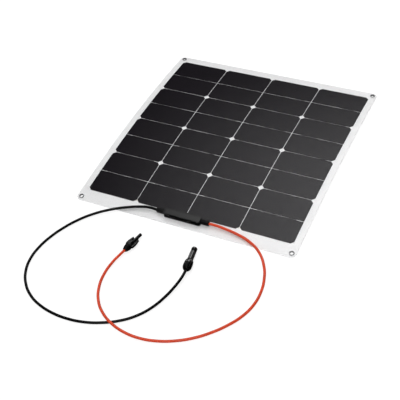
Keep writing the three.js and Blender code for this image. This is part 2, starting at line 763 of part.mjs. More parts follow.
function shellPlugNut() {
  const outside = 9.8;
  const shell = turned([
    [0, NUT_BORE_RADIUS],
    [0, 5.6],
    [3, 7.6],
    [8, outside],
    [17, outside],
    [17, COLLAR_RADIUS + FIT_GAP],
    [COLLAR_START - FIT_GAP, COLLAR_RADIUS + FIT_GAP],
    [COLLAR_START - 2, NUT_BORE_RADIUS],
    [0, NUT_BORE_RADIUS],
  ]);
  return cut(shell, ...gripGrooves(12, 7, 18, outside));
}

/** The housing of the plug with a shell: a collar, a round shoulder, and a barrel with two windows. */
function shellPlugHousing() {
  const tip = SHELL_PLUG_LENGTH;
  const body = turned([
    [COLLAR_START, PIN_RADIUS + 0.9],
    [COLLAR_START, COLLAR_RADIUS],
    [17.3, COLLAR_RADIUS],
    [17.3, 9.7],
    [22, 9.4],
    [26, 8.6],
    [28.5, 7.4],
    [30, BARREL_RADIUS],
    [tip, BARREL_RADIUS],
    [tip, MOUTH_RADIUS],
    [tip - MOUTH_DEPTH, MOUTH_RADIUS],
    [tip - MOUTH_DEPTH, BARREL_BORE_RADIUS],
    [BARREL_BORE_START, BARREL_BORE_RADIUS],
    [BARREL_BORE_START, PIN_RADIUS + 0.9],
    [COLLAR_START, PIN_RADIUS + 0.9],
  ]);
  const windowEnd = tip - SHELL_WINDOW_FROM_TIP;
  const windows = block(
    [windowEnd - SHELL_WINDOW_LENGTH, -SHELL_WINDOW_HALF_WIDTH, -2 * BARREL_RADIUS],
    [windowEnd, SHELL_WINDOW_HALF_WIDTH, 2 * BARREL_RADIUS],
  );
  return cut(body, windows.rotate([-SHELL_WINDOW_TILT, 0, 0]));
}

/** The pin contact inside the shell, with its crimp. */
function pinContact() {
  const crimpRadius = PIN_RADIUS + 0.5;
  return turned(
    [
      [8, 0],
      [8, crimpRadius],
      [30, crimpRadius],
      [30, PIN_RADIUS],
      [PIN_END - 2, PIN_RADIUS],
      [PIN_END, 0],
    ],
    16,
  );
}

function addShellPlug() {
  const plug = plugGroup(SHELL_PLUG_TAIL, SHELL_PLUG_HEADING, SHELL_PLUG_NOSE_DOWN);
  addMesh(plug, "shell_plug_nut", shellPlugNut(), BLACK_PLASTIC);
  addMesh(plug, "shell_plug_housing", shellPlugHousing(), BLACK_PLASTIC);
  addMesh(plug, "shell_plug_contact", pinContact(), TINNED_COPPER);
  sheet.add(plug);
}

// ---- The whole object --------------------------------------------------------------------------

addBackSheet();
addEncapsulant();
addCells();
addRibbons();
addFrontFilm();
addEyelets();
addJunctionBox();
addLeads();
addProbePlug();
addShellPlug();

export default sheet;
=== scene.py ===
"""A flexible solar sheet with its junction box, leads and plugs, on a pale floor.

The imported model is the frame. Shapes are drawn in millimetres in each piece's own axes, and a place
matrix turns them into metres in the row frame.
"""

import math

import bmesh
import bpy
from mathutils import Matrix, Vector
from mathutils.geometry import delaunay_2d_cdt


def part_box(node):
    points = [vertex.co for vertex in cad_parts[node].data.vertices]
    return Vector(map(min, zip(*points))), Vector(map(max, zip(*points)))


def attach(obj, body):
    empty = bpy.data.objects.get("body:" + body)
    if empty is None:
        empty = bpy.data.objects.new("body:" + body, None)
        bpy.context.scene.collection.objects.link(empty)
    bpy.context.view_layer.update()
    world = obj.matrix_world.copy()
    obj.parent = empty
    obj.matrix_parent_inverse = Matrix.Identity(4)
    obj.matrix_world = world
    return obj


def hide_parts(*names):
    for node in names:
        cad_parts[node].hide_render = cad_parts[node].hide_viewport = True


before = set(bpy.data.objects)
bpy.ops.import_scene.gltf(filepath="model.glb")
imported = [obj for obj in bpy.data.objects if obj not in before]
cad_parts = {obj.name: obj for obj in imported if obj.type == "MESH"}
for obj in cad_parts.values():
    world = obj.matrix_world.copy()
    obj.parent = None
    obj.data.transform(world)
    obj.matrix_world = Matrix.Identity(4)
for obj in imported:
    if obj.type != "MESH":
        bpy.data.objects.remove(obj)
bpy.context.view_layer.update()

MM = 0.001
TAU = 2 * math.pi

# ---- The sheet's dimensions, in millimetres ----------------------------------------------------

SHEET_LOW, SHEET_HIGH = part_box("back_sheet")
BACK_SHEET_THICKNESS = 1.0
UNDERSIDE = SHEET_LOW.z / MM
SHEET_WIDTH = (SHEET_HIGH.x - SHEET_LOW.x) / MM
SHEET_DEPTH = (SHEET_HIGH.y - SHEET_LOW.y) / MM
BOW_RISE = (SHEET_HIGH.z - SHEET_LOW.z) / MM - BACK_SHEET_THICKNESS
SHEET_CORNER_RADIUS = 12
SHEET_THICKNESS = 2.5

# Heights of the layers above the sheet's underside.
MILKY_TOP = 1.3
STRIP_BOTTOM = 1.5
STRIP_TOP = 1.553
CELL_BOTTOM = 1.56
CELL_TOP = 1.95
FILM_BOTTOM = 2.05

CELL_COLUMNS = 4
HALF_CELL_ROWS = 8
CELL_WIDTH = 125.5
HALF_CELL_DEPTH = 62
COLUMN_GAP = 1.5
ROW_GAP = 1.5
CELL_CORNER_CUT = 6.5
FRONT_MARGIN = 33.5
CELLS_LEFT = (COLUMN_GAP - CELL_COLUMNS * (CELL_WIDTH + COLUMN_GAP)) / 2
CELLS_FRONT = FRONT_MARGIN - SHEET_DEPTH / 2

EYELET_X = 258.5
EYELET_Y = 270.5
EYELET_SEAT_RADIUS = 5.1
EYELET_BELOW = 0.7

BOX_CENTRE_X = -2
BOX_CENTRE_Y = -257.5
BOX_LENGTH = 89
BOX_WIDTH = 18
GLAND_AXIS_HEIGHT = 5.6
GLAND_WIDTH = 9
GLAND_HEIGHT = 10.6
GLAND_CORNER_RADIUS = 2.5

LEAD_DIAMETER = 6
PROBE_PLUG_LENGTH = 55
PROBE_PLUG_TAIL = (-78.9, -387.5, 8.1)
PROBE_PLUG_HEADING = 77.2
SHELL_PLUG_LENGTH = 64.5
SHELL_PLUG_TAIL = (72.2, -393.6, 11.04)
SHELL_PLUG_HEADING = 99.4
SHELL_PLUG_NOSE_DOWN = 4.21
SHELL_WINDOW_TILT = 40
# The windows and the dull band lie between these distances from the shell's tip.
SHELL_WINDOW_SPAN = (10.8, 6.6)
SHELL_BAND_SPAN = (11, 4.3)
SHELL_WINDOW_HALF_WIDTH = 4.2

# ---- Camera ------------------------------------------------------------------------------------

CAMERA_PLACE = (0.7594, -1.3928, 1.4121)
CAMERA_RIGHT = (0.8968, 0.4274, -0.1140)
CAMERA_UP = (-0.2330, 0.6755, 0.6996)
CAMERA_LENS = 80.2
CAMERA_SENSOR = 36


def make_camera():
    """A long lens, high up, in front of the sheet and to its right."""
    data = bpy.data.cameras.new("camera")
    data.lens = CAMERA_LENS
    data.sensor_width = CAMERA_SENSOR
    right = Vector(CAMERA_RIGHT).normalized()
    back = right.cross(Vector(CAMERA_UP)).normalized()
    up = back.cross(right)
    camera = bpy.data.objects.new("camera", data)
    turn = Matrix((right, up, back)).transposed().to_4x4()
    camera.matrix_world = Matrix.Translation(CAMERA_PLACE) @ turn
    bpy.context.scene.collection.objects.link(camera)
    bpy.context.scene.camera = camera


make_camera()

# ---- Materials ---------------------------------------------------------------------------------
# Each pattern is read in the row frame, in metres, so that its scale is that of the real thing.


# Most of a noise pattern's values lie in this span.
NOISE_SPAN = (0.3, 0.7)


def new_material(name, colour, roughness, **sockets):
    """A material with one Principled shader: (material, its node tree, the shader)."""
    material = bpy.data.materials.new(name)
    material.use_nodes = True
    tree = material.node_tree
    shader = next(node for node in tree.nodes if node.type == "BSDF_PRINCIPLED")
    shader.inputs["Base Color"].default_value = (*colour, 1)
    shader.inputs["Roughness"].default_value = roughness
    for socket, value in sockets.items():
        shader.inputs[socket.replace("_", " ")].default_value = value
    material.diffuse_color = (*colour, 1)
    return material, tree, shader


def noise(tree, scale, detail=3):
    """A noise pattern's output. Its features are about 1 / scale metres across."""
    place = tree.nodes.new("ShaderNodeTexCoord")
    pattern = tree.nodes.new("ShaderNodeTexNoise")
    pattern.inputs["Scale"].default_value = scale
    pattern.inputs["Detail"].default_value = detail
    tree.links.new(place.outputs["Object"], pattern.inputs["Vector"])
    return pattern.outputs["Fac"]


def vary_colour(tree, shader, pattern, dark, light):
    """The pattern runs between two colours."""
    ramp = tree.nodes.new("ShaderNodeValToRGB")
    for stop, place, colour in zip(ramp.color_ramp.elements, NOISE_SPAN, (dark, light)):
        stop.position = place
        stop.color = (*colour, 1)
    tree.links.new(pattern, ramp.inputs["Fac"])
    tree.links.new(ramp.outputs["Color"], shader.inputs["Base Color"])


def vary_roughness(tree, shader, pattern, low, high):
    """The pattern runs between two roughnesses."""
    spread = tree.nodes.new("ShaderNodeMapRange")
    spread.inputs["From Min"].default_value, spread.inputs["From Max"].default_value = NOISE_SPAN
    spread.inputs["To Min"].default_value = low
    spread.inputs["To Max"].default_value = high
    tree.links.new(pattern, spread.inputs["Value"])
    tree.links.new(spread.outputs["Result"], shader.inputs["Roughness"])


def add_bump(tree, shader, pattern, depth):
    """The pattern stands up from the surface by depth, in millimetres."""
    bump = tree.nodes.new("ShaderNodeBump")
    bump.inputs["Distance"].default_value = depth * MM
    tree.links.new(pattern, bump.inputs["Height"])
    tree.links.new(bump.outputs["Normal"], shader.inputs["Normal"])


def scaled(colour, factor):
    """The same colour, darker or lighter."""
    return tuple(min(1, channel * factor) for channel in colour)


def moulded(name, colour, roughness, depth=0.03, spread=0.15, **sockets):
    """Moulded plastic or rubber: a fine grain, and patches that are a little lighter and duller."""
    material, tree, shader = new_material(name, colour, roughness, **sockets)
    patches = noise(tree, 60)
    vary_colour(tree, shader, patches, scaled(colour, 1 - spread), scaled(colour, 1 + spread))
    vary_roughness(tree, shader, patches, roughness * 0.85, roughness * 1.15)
    add_bump(tree, shader, noise(tree, 900, 2), depth)
    return material


def plated(name, colour, roughness):
    """Plated metal: faint stains, and a fine grain that is duller where it stands up."""
    material, tree, shader = new_material(name, colour, roughness, Metallic=1.0)
    vary_colour(tree, shader, noise(tree, 250), scaled(colour, 0.85), scaled(colour, 1.08))
    grain = noise(tree, 1500, 2)
    vary_roughness(tree, shader, grain, roughness * 0.7, roughness * 1.4)
    add_bump(tree, shader, grain, 0.01)
    return material


def white_laminate():
    """White plastic sheet with a slight gloss and faint clouds of tone."""
    colour = (0.89, 0.89, 0.895)
    gloss = {"Coat_Weight": 0.4, "Coat_Roughness": 0.08}
    material, tree, shader = new_material("white_laminate", colour, 0.4, **gloss)
    vary_colour(tree, shader, noise(tree, 12, 4), scaled(colour, 0.97), scaled(colour, 1.02))
    vary_roughness(tree, shader, noise(tree, 300), 0.34, 0.46)
    add_bump(tree, shader, noise(tree, 1400, 2), 0.01)
    return material


def silicon():
    """Near-black cells with a faint violet tint. The coat is the film's own gloss over them."""
    colour = (0.0038, 0.0023, 0.0047)
    gloss = {"Coat_Weight": 0.265, "Coat_Roughness": 0.08, "Coat_IOR": 1.7}
    material, tree, shader = new_material("silicon", colour, 0.5, Specular_IOR_Level=0.0, **gloss)
    vary_colour(tree, shader, noise(tree, 25, 4), scaled(colour, 0.85), scaled(colour, 1.18))
    vary_roughness(tree, shader, noise(tree, 500, 2), 0.45, 0.55)
    return material


def clear_film():
    """The film itself is nearly invisible: its gloss is the coat of what lies under it."""
    material, tree, shader = new_material(
        "clear_film", (0.05, 0.05, 0.05), 0.15, Alpha=0.02, Specular_IOR_Level=0.0
    )
    vary_roughness(tree, shader, noise(tree, 200), 0.1, 0.2)
    vary_colour(tree, shader, noise(tree, 20), (0.04, 0.04, 0.04), (0.06, 0.06, 0.06))
    material.surface_render_method = "BLENDED"
    return material


def milky_layer():
    """The white seen between and around the cells, under the film's gloss."""
    colour = (0.89, 0.89, 0.895)
    gloss = {"Coat_Weight": 0.5, "Coat_Roughness": 0.06}
    material, tree, shader = new_material("milky_layer", colour, 0.35, **gloss)
    vary_colour(tree, shader, noise(tree, 15, 4), scaled(colour, 0.97), scaled(colour, 1.03))
    vary_roughness(tree, shader, noise(tree, 200), 0.3, 0.4)
    add_bump(tree, shader, noise(tree, 30, 2), 0.02)
    return material


def uneven_strip():
    """Metal strips under a cloudy film: they show white in some places and grey in others."""
    colour = (0.34, 0.34, 0.34)
    material, tree, shader = new_material("interconnect", colour, 0.6)
    vary_colour(tree, shader, noise(tree, 28, 2), (0.08, 0.08, 0.085), (0.60, 0.60, 0.60))
    vary_roughness(tree, shader, noise(tree, 200), 0.5, 0.7)
    return material


LAMINATE = white_laminate()
MILKY = milky_layer()
FILM = clear_film()
SILICON = silicon()
INTERCONNECT = uneven_strip()
NICKEL = plated("nickel", (0.42, 0.42, 0.43), 0.25)
TINNED = plated("tinned_copper", (0.60, 0.58, 0.54), 0.35)
BLACK = (0.0008, 0.0008, 0.0010)
BLACK_PLASTIC = moulded("black_plastic", BLACK, 0.2, Specular_IOR_Level=0.3)
GLOSSY_PLASTIC = moulded("glossy_plastic", BLACK, 0.14, Specular_IOR_Level=0.9)
NUT_PLASTIC = moulded("nut_plastic", BLACK, 0.3, Specular_IOR_Level=0.08)
DULL_PLASTIC = moulded("dull_plastic", BLACK, 0.5, Specular_IOR_Level=0.04)
BLACK_RUBBER = moulded("black_rubber", (0.0012, 0.0012, 0.0012), 0.4, Specular_IOR_Level=0.1)
RED_JACKET = moulded(
    "red_jacket", (0.68, 0.054, 0.010), 0.42, spread=0.05, depth=0.02, Specular_IOR_Level=0.35
)
BLACK_JACKET = moulded("black_jacket", BLACK, 0.33, depth=0.02, Specular_IOR_Level=0.1)
# Grey for the bead under the junction box: partly painted shade round the box's foot.
BEAD_AND_PAINTED_SHADE = moulded("bead_and_painted_shade", (0.10, 0.10, 0.10), 0.5)

# ---- Making pieces -----------------------------------------------------------------------------


def add_piece(obj, material, body, slot, *nodes):
    """Links a new object and says which body it rides on and which CAD nodes it stands for."""
    if obj.name not in bpy.context.scene.collection.objects:
        bpy.context.scene.collection.objects.link(obj)
    obj.data.materials.clear()
    obj.data.materials.append(material)
    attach(obj, body)
    if nodes:
        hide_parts(*nodes)
    return obj


# Edges that turn by more than this many degrees stay sharp: on most pieces, on those with bevelled
# edges, and on the bowed layers of the sheet.
SHARP_TURN = 32
BEVELLED_SHARP_TURN = 40
BOWED_SHARP_TURN = 50
MERGE_DISTANCE = 1e-6


def mesh_object(name, points, faces, place=None, sharp=SHARP_TURN):
    """A mesh object from points in millimetres, smooth but for edges sharper than the angle."""
    mesh = bpy.data.meshes.new(name)
    place = place or Matrix.Scale(MM, 4)
    mesh.from_pydata([place @ Vector(point) for point in points], [], faces)
    tidy = bmesh.new()
    tidy.from_mesh(mesh)
    bmesh.ops.remove_doubles(tidy, verts=tidy.verts, dist=MERGE_DISTANCE)
    bmesh.ops.recalc_face_normals(tidy, faces=tidy.faces)
    tidy.to_mesh(mesh)
    tidy.free()
    mesh.shade_smooth()
    mesh.set_sharp_from_angle(angle=math.radians(sharp))
    return bpy.data.objects.new(name, mesh)


# The most of a side that the rounding of one corner may take.
LARGEST_SHARE = 0.45


def rounded(points, radius=0.4, steps=3):
    """A closed outline with each corner rounded off, as far as the sides beside it allow."""
    result = []
    count = len(points)
    for index, point in enumerate(points):
        corner = Vector(point)
        before = Vector(points[index - 1]) - corner
        after = Vector(points[(index + 1) % count]) - corner
        reach = min(radius, before.length * LARGEST_SHARE, after.length * LARGEST_SHARE)
        start = corner + before.normalized() * reach
        end = corner + after.normalized() * reach
        for step in range(steps + 1):
            t = step / steps
            result.append(start * (1 - t) ** 2 + corner * 2 * t * (1 - t) + end * t * t)
    return [tuple(point) for point in result]


def lathe(name, profile, place, segments=64, round_off=0.4, ribs=None, axis_ends=False):
    """A profile of (along, radius), turned about the piece's own X.

    ribs is (count, depth, start, end, least_radius): grooves cut between two places along the axis
    into what stands further out than the least radius. A profile that begins and ends on the axis
    isn't joined up, because the axis closes it.
    """
    closed = not axis_ends
    ring = rounded(profile, round_off) if closed else soft_ends(profile, round_off)
    if ribs:
        ring = with_stations(ring, ribs[2], ribs[3])
    points, faces = [], []
    for turn in range(segments):
        angle = TAU * turn / segments
        for along, radius in ring:
            r = radius - groove(ribs, along, radius, angle)
            points.append((along, r * math.cos(angle), r * math.sin(angle)))
    size = len(ring)
    for turn in range(segments):
        a, b = turn * size, ((turn + 1) % segments) * size
        for index in range(size if closed else size - 1):
            after = (index + 1) % size
            faces.append((a + index, a + after, b + after, b + index))
    return mesh_object(name, points, faces, place)


def soft_ends(profile, radius):
    """The same rounding for a profile that ends on the axis: its two end points stay."""
    middle = rounded(profile, radius)
    per_corner = len(middle) // len(profile)
    return [profile[0], *middle[per_corner:-per_corner], profile[-1]]


RIB_LEVELS = 6
RIB_FADE = 1.2
RIB_ROUNDNESS = 0.6


def with_stations(ring, start, end):
    """More points on a ring's long stretches, so that the grooves can fade at both ends."""
    result = []
    for index, point in enumerate(ring):
        result.append(point)
        after = ring[(index + 1) % len(ring)]
        if abs(after[0] - point[0]) < (end - start) / 4:
            continue
        for level in range(1, RIB_LEVELS):
            t = level / RIB_LEVELS
            result.append(tuple(Vector(point).lerp(Vector(after), t)))
    return result


def groove(ribs, along, radius, angle):
    """How deep the grooves are at one point of a ribbed piece."""
    if not ribs or radius < ribs[4]:
        return 0
    count, depth, start, end, _ = ribs
    if not start < along < end:
        return 0
    fade = min(1, (along - start) / RIB_FADE, (end - along) / RIB_FADE)
    wave = math.cos(count * angle)
    return depth * fade * max(0, wave) ** RIB_ROUNDNESS


def loft(name, loops, place):
    """A closed skin through loops with the same number of points, capped at both ends."""
    points = [point for loop in loops for point in loop]
    size = len(loops[0])
    faces = [tuple(reversed(range(size)))]
    for level in range(len(loops) - 1):
        a, b = level * size, (level + 1) * size
        for index in range(size):
            after = (index + 1) % size
            faces.append((a + index, a + after, b + after, b + index))
    last = (len(loops) - 1) * size
    faces.append(tuple(range(last, last + size)))
    return mesh_object(name, points, faces, place)


def rounded_rectangle(length, width, corner, steps=6):
    """The outline of a rectangle about the origin, with round corners."""
    points = []
    for quarter, (sx, sy) in enumerate(((1, -1), (1, 1), (-1, 1), (-1, -1))):
        for step in range(steps + 1):
            angle = math.radians(-90 + 90 * quarter + 90 * step / steps)
            x = sx * (length / 2 - corner) + corner * math.cos(angle)
            y = sy * (width / 2 - corner) + corner * math.sin(angle)
            points.append((x, y))
    return points


def level_loop(outline, height):
    """A flat outline, lifted to a height."""
    return [(x, y, height) for x, y in outline]


def bevelled_prism(name, outline, low, high, place, width=0.35):
    """An outline pulled up from one height to another, with its edges bevelled."""
    size = len(outline)
    points = level_loop(outline, low) + level_loop(outline, high)
    faces = [tuple(reversed(range(size))), tuple(range(size, 2 * size))]
    faces += [(i, (i + 1) % size, (i + 1) % size + size, i + size) for i in range(size)]
    obj = mesh_object(name, points, faces, place)
    shape = bmesh.new()
    shape.from_mesh(obj.data)
    bmesh.ops.bevel(
        shape, geom=shape.edges[:], offset=width * MM, segments=2, profile=0.6, affect="EDGES"
    )
    shape.to_mesh(obj.data)
    shape.free()
    obj.data.shade_smooth()
    obj.data.set_sharp_from_angle(angle=math.radians(BEVELLED_SHARP_TURN))
    return obj


def combine(obj, other, operation):
    """Joins the other object on ("UNION") or cuts it out ("DIFFERENCE"), and removes it."""
    collection = bpy.context.scene.collection
    for one in (obj, other):
        if one.name not in collection.objects:
            collection.objects.link(one)
    modifier = obj.modifiers.new("combine", "BOOLEAN")
    modifier.operation = operation
    modifier.solver = "EXACT"
    modifier.object = other
    shape = obj.evaluated_get(bpy.context.evaluated_depsgraph_get())
    mesh = bpy.data.meshes.new_from_object(shape)
    obj.modifiers.clear()
    obj.data = mesh
    mesh.set_sharp_from_angle(angle=math.radians(SHARP_TURN))
    bpy.data.objects.remove(other)


def block(name, low, high, place, width=0.2):
    """A box between two corners, with its edges bevelled."""
    outline = [(low[0], low[1]), (high[0], low[1]), (high[0], high[1]), (low[0], high[1])]
    return bevelled_prism(name, outline, low[2], high[2], place, width)


# ---- Leads -------------------------------------------------------------------------------------
# The routes are those of the CAD model's leads, in metres, but for their end points. Those lie 3 mm
# further on, inside the gland and inside the plug.

POSITIVE_ROUTE = [
    (0.0601, -0.258, 0.0106),
    (0.080, -0.258, 0.0106),
    (0.100, -0.2595, 0.0099),
    (0.132, -0.2645, 0.0088),
    (0.165, -0.2745, 0.0074),
    (0.194, -0.293, 0.0058),
    (0.2165, -0.321, 0.0042),
    (0.231, -0.3535, 0.0034),
    (0.238, -0.388, 0.0031),
    (0.237, -0.423, 0.0031),
    (0.227, -0.456, 0.0031),
    (0.209, -0.4865, 0.0031),
    (0.186, -0.514, 0.0031),
    (0.159, -0.538, 0.0031),
    (0.128, -0.557, 0.0031),
    (0.094, -0.5705, 0.0034),
    (0.059, -0.5775, 0.0048),
    (0.024, -0.577, 0.0074),
    (-0.0095, -0.568, 0.0096),
    (-0.039, -0.551, 0.0092),
    (-0.0645, -0.5255, 0.006),
    (-0.0825, -0.493, 0.0038),
    (-0.0905, -0.458, 0.0033),
    (-0.0885, -0.4235, 0.0055),
    (-0.0836, -0.4055, 0.0075),
    (-0.0807, -0.3948, 0.0081),
    (-0.0783, -0.3849, 0.0081),
]

NEGATIVE_ROUTE = [
    (-0.0641, -0.258, 0.0106),
    (-0.084, -0.2574, 0.0111),
    (-0.106, -0.2613, 0.0101),
    (-0.139, -0.2733, 0.0083),
    (-0.171, -0.2905, 0.0066),
    (-0.200, -0.312, 0.005),
    (-0.225, -0.339, 0.0037),
    (-0.2445, -0.3705, 0.0032),
    (-0.2585, -0.404, 0.0031),
    (-0.2665, -0.4385, 0.0031),
    (-0.267, -0.4735, 0.0031),
    (-0.2575, -0.5075, 0.0031),
    (-0.2375, -0.538, 0.0031),
    (-0.209, -0.562, 0.0031),
    (-0.176, -0.577, 0.0031),
    (-0.140, -0.585, 0.0031),
    (-0.104, -0.5865, 0.0031),
    (-0.068, -0.582, 0.0031),
    (-0.0335, -0.571, 0.0031),
    (-0.001, -0.554, 0.0031),
    (0.026, -0.531, 0.0031),
    (0.0465, -0.5015, 0.0034),
    (0.0605, -0.468, 0.005),
    (0.069, -0.4385, 0.0082),
    (0.0726, -0.4185, 0.0106),
    (0.0732, -0.4025, 0.0116),
    (0.072, -0.3909, 0.0109),
]


def make_lead(name, route, material, slot, node):
    """A round cable along one smooth curve."""
    data = bpy.data.curves.new(name, "CURVE")
    data.dimensions = "3D"
    data.resolution_u = 8
    data.bevel_depth = LEAD_DIAMETER / 2 * MM
    data.bevel_resolution = 5
    data.use_fill_caps = True
    line = data.splines.new("BEZIER")
    line.bezier_points.add(len(route) - 1)
    for point, place in zip(line.bezier_points, route):
        point.co = place
        point.handle_left_type = "AUTO"
        point.handle_right_type = "AUTO"
    return add_piece(bpy.data.objects.new(name, data), material, "sheet", slot, node)


positive_lead = make_lead("red_lead", POSITIVE_ROUTE, RED_JACKET, "red_jacket", "positive_lead")
negative_lead = make_lead(
    "black_lead", NEGATIVE_ROUTE, BLACK_JACKET, "black_jacket", "negative_lead"
)

# ---- The laminate ------------------------------------------------------------------------------


def bow(y):
    """How far the sheet stands up at y above its front and back edges."""
    return BOW_RISE * (1 - (2 * y / SHEET_DEPTH) ** 2)


def subdivided(loop, step):
    """A closed outline with points no further apart than the step."""
    result = []
    for index, start in enumerate(loop):
        end = loop[(index + 1) % len(loop)]
        pieces = max(1, math.ceil(math.dist(start, end) / step))
        for piece in range(pieces):
            t = piece / pieces
            result.append((start[0] + (end[0] - start[0]) * t, start[1] + (end[1] - start[1]) * t))
    return result


def inside(loop, x, y):
    """True if a point is inside a closed outline."""
    odd = False
    for index, (x1, y1) in enumerate(loop):
        x0, y0 = loop[index - 1]
        if (y1 > y) != (y0 > y) and x < (x0 - x1) * (y - y1) / (y0 - y1) + x1:
            odd = not odd
    return odd


# The plates' triangles are this long along the bow, and this wide across it.
ROW_STEP = 7.75
COLUMN_STEP = 31.25


def plan_mesh(outline, holes):
    """Triangles that fill an outline but not its holes: (points, triangles)."""
    loops = [subdivided(outline, ROW_STEP), *holes]
    points, edges = [], []
    for loop in loops:
        first = len(points)
        points += loop
        edges += [(first + i, first + (i + 1) % len(loop)) for i in range(len(loop))]
    low = [min(p[axis] for p in outline) for axis in (0, 1)]
    high = [max(p[axis] for p in outline) for axis in (0, 1)]
    across = round((high[0] - low[0]) / COLUMN_STEP)
    along = round((high[1] - low[1]) / ROW_STEP)
    for i in range(1, across):
        for j in range(1, along):
            x = low[0] + (high[0] - low[0]) * i / across
            y = low[1] + (high[1] - low[1]) * j / along
            if inside(outline, x, y) and not any(inside(hole, x, y) for hole in holes):
                points.append((x, y))
    found = delaunay_2d_cdt([Vector(p) for p in points], edges, [], 0, 1e-5)
    flat = [tuple(p) for p in found[0]]
    kept = []
    for face in found[2]:
        x = sum(flat[i][0] for i in face) / 3
        y = sum(flat[i][1] for i in face) / 3
        if inside(outline, x, y) and not any(inside(hole, x, y) for hole in holes):
            kept.append(tuple(face))
    return flat, kept


def bowed_plate(name, outline, low, high, holes=()):
    """A layer of the sheet between two heights above its underside, following the bow."""
    flat, triangles = plan_mesh(outline, list(holes))
    size = len(flat)
    points = [(x, y, UNDERSIDE + bow(y) + low) for x, y in flat]
    points += [(x, y, UNDERSIDE + bow(y) + high) for x, y in flat]
    faces = [tuple(reversed(face)) for face in triangles]
    faces += [tuple(i + size for i in face) for face in triangles]
    used = {(face[i], face[(i + 1) % 3]) for face in triangles for i in range(3)}
    for a, b in used:
        if (b, a) not in used:
            faces.append((a, b, b + size, a + size))
    return mesh_object(name, points, sorted(faces), sharp=BOWED_SHARP_TURN)


def circle(x, y, radius, count=32):
    """A circle's outline."""
    return [
        (x + radius * math.cos(TAU * i / count), y + radius * math.sin(TAU * i / count))
        for i in range(count)
    ]


EYELET_PLACES = {
    f"eyelet_{y_name}_{x_name}": (x, y)
    for y_name, y in (("front", -EYELET_Y), ("back", EYELET_Y))
    for x_name, x in (("left", -EYELET_X), ("right", EYELET_X))
}


def half_cell_outline(column, row):
    """Half of a square cell: only the two corners on its outer side are cut."""
    x0 = CELLS_LEFT + column * (CELL_WIDTH + COLUMN_GAP)
    x1 = x0 + CELL_WIDTH
    y0 = CELLS_FRONT + row * (HALF_CELL_DEPTH + ROW_GAP)
    y1 = y0 + HALF_CELL_DEPTH
    c = CELL_CORNER_CUT
    if row % 2 == 0:
        return [(x0 + c, y0), (x1 - c, y0), (x1, y0 + c), (x1, y1), (x0, y1), (x0, y0 + c)]
    return [(x0, y0), (x1, y0), (x1, y1 - c), (x1 - c, y1), (x0 + c, y1), (x0, y1 - c)]


# The strips stop short of the cells' sides, and reach a little way under the cells.
STRIP_INSET = 16.5
STRIP_HALF_DEPTH = 2.2


def make_laminate():
    """The back sheet, the milky layer that shows between the cells, and the film over them."""
    outline = rounded_rectangle(SHEET_WIDTH, SHEET_DEPTH, SHEET_CORNER_RADIUS, 8)
    seats = [circle(x, y, EYELET_SEAT_RADIUS) for x, y in EYELET_PLACES.values()]
    back = bowed_plate("sheet_back", outline, 0, BACK_SHEET_THICKNESS, seats)
    add_piece(back, LAMINATE, "sheet", "white_laminate", "back_sheet")
    middle = bowed_plate("sheet_middle", outline, BACK_SHEET_THICKNESS, MILKY_TOP, seats)
    add_piece(middle, MILKY, "sheet", "clear_encapsulant", "encapsulant")
    film = bowed_plate("sheet_film", outline, FILM_BOTTOM, SHEET_THICKNESS, seats)
    add_piece(film, FILM, "sheet", "clear_film", "front_film")


def make_cells():
    """The half cells, in columns of pairs that make one square cell each."""
    for row in range(HALF_CELL_ROWS):
        for column in range(CELL_COLUMNS):
            number = f"row_{row + 1}_column_{column + 1}"
            outline = half_cell_outline(column, row)
            cell = bowed_plate(f"cell_{number}", outline, CELL_BOTTOM, CELL_TOP)
            add_piece(cell, SILICON, "sheet", "silicon", f"half_cell_{number}")


def make_interconnects():
    """The metal strips that join the cells of a column, seen in the gaps between them."""
    for row in range(1, HALF_CELL_ROWS):
        y = CELLS_FRONT + row * (HALF_CELL_DEPTH + ROW_GAP) - ROW_GAP / 2
        for column in range(CELL_COLUMNS):
            x0 = CELLS_LEFT + column * (CELL_WIDTH + COLUMN_GAP) + STRIP_INSET
            x1 = x0 + CELL_WIDTH - 2 * STRIP_INSET
            outline = [
                (x0, y - STRIP_HALF_DEPTH),
                (x1, y - STRIP_HALF_DEPTH),
                (x1, y + STRIP_HALF_DEPTH),
                (x0, y + STRIP_HALF_DEPTH),
            ]
            strip = bowed_plate(f"strip_{row}_{column + 1}", outline, STRIP_BOTTOM, STRIP_TOP)
            add_piece(strip, INTERCONNECT, "sheet", "tinned_copper")


make_laminate()
make_cells()
make_interconnects()

# ---- Places on the sheet -----------------------------------------------------------------------


def place_on_film(x, y):
    """A matrix that stands a piece on the film, square to it."""
    slope = -8 * BOW_RISE * y / SHEET_DEPTH**2
    height = UNDERSIDE + bow(y) + SHEET_THICKNESS
    turn = Matrix.Rotation(math.atan(slope), 4, "X")
    return Matrix.Translation(Vector((x, y, height)) * MM) @ turn @ Matrix.Scale(MM, 4)


def make_eyelets():
    """Rolled metal eyelets: a domed ring above, the barrel, and a flatter ring below."""
    bottom = -SHEET_THICKNESS - EYELET_BELOW
    profile = [
        (bottom, 4.0),
        (bottom, 5.9),
        (bottom + 0.4, 5.9),
        (bottom + 0.6, 4.7),
        (-0.1, 4.7),
        (0.05, 5.5),
        (0.0, 6.0),
        (0.75, 5.7),
        (1.15, 4.95),
        (0.9, 4.3),
        (0.0, 4.0),
    ]
    upright = Matrix.Rotation(-math.pi / 2, 4, "Y")
    for name, (x, y) in EYELET_PLACES.items():
        place = place_on_film(x, y) @ upright
        ring = lathe(f"{name}_ring", profile, place, segments=48, round_off=0.35)
        add_piece(ring, NICKEL, "sheet", "nickel", name)


make_eyelets()

# ---- The junction box --------------------------------------------------------------------------

BASE_TOP = 9.2
COVER_BOTTOM = 10.2
COVER_TOP = 12.5
BOX_CORNER = 4
BOX_PLACE = place_on_film(BOX_CENTRE_X, BOX_CENTRE_Y)


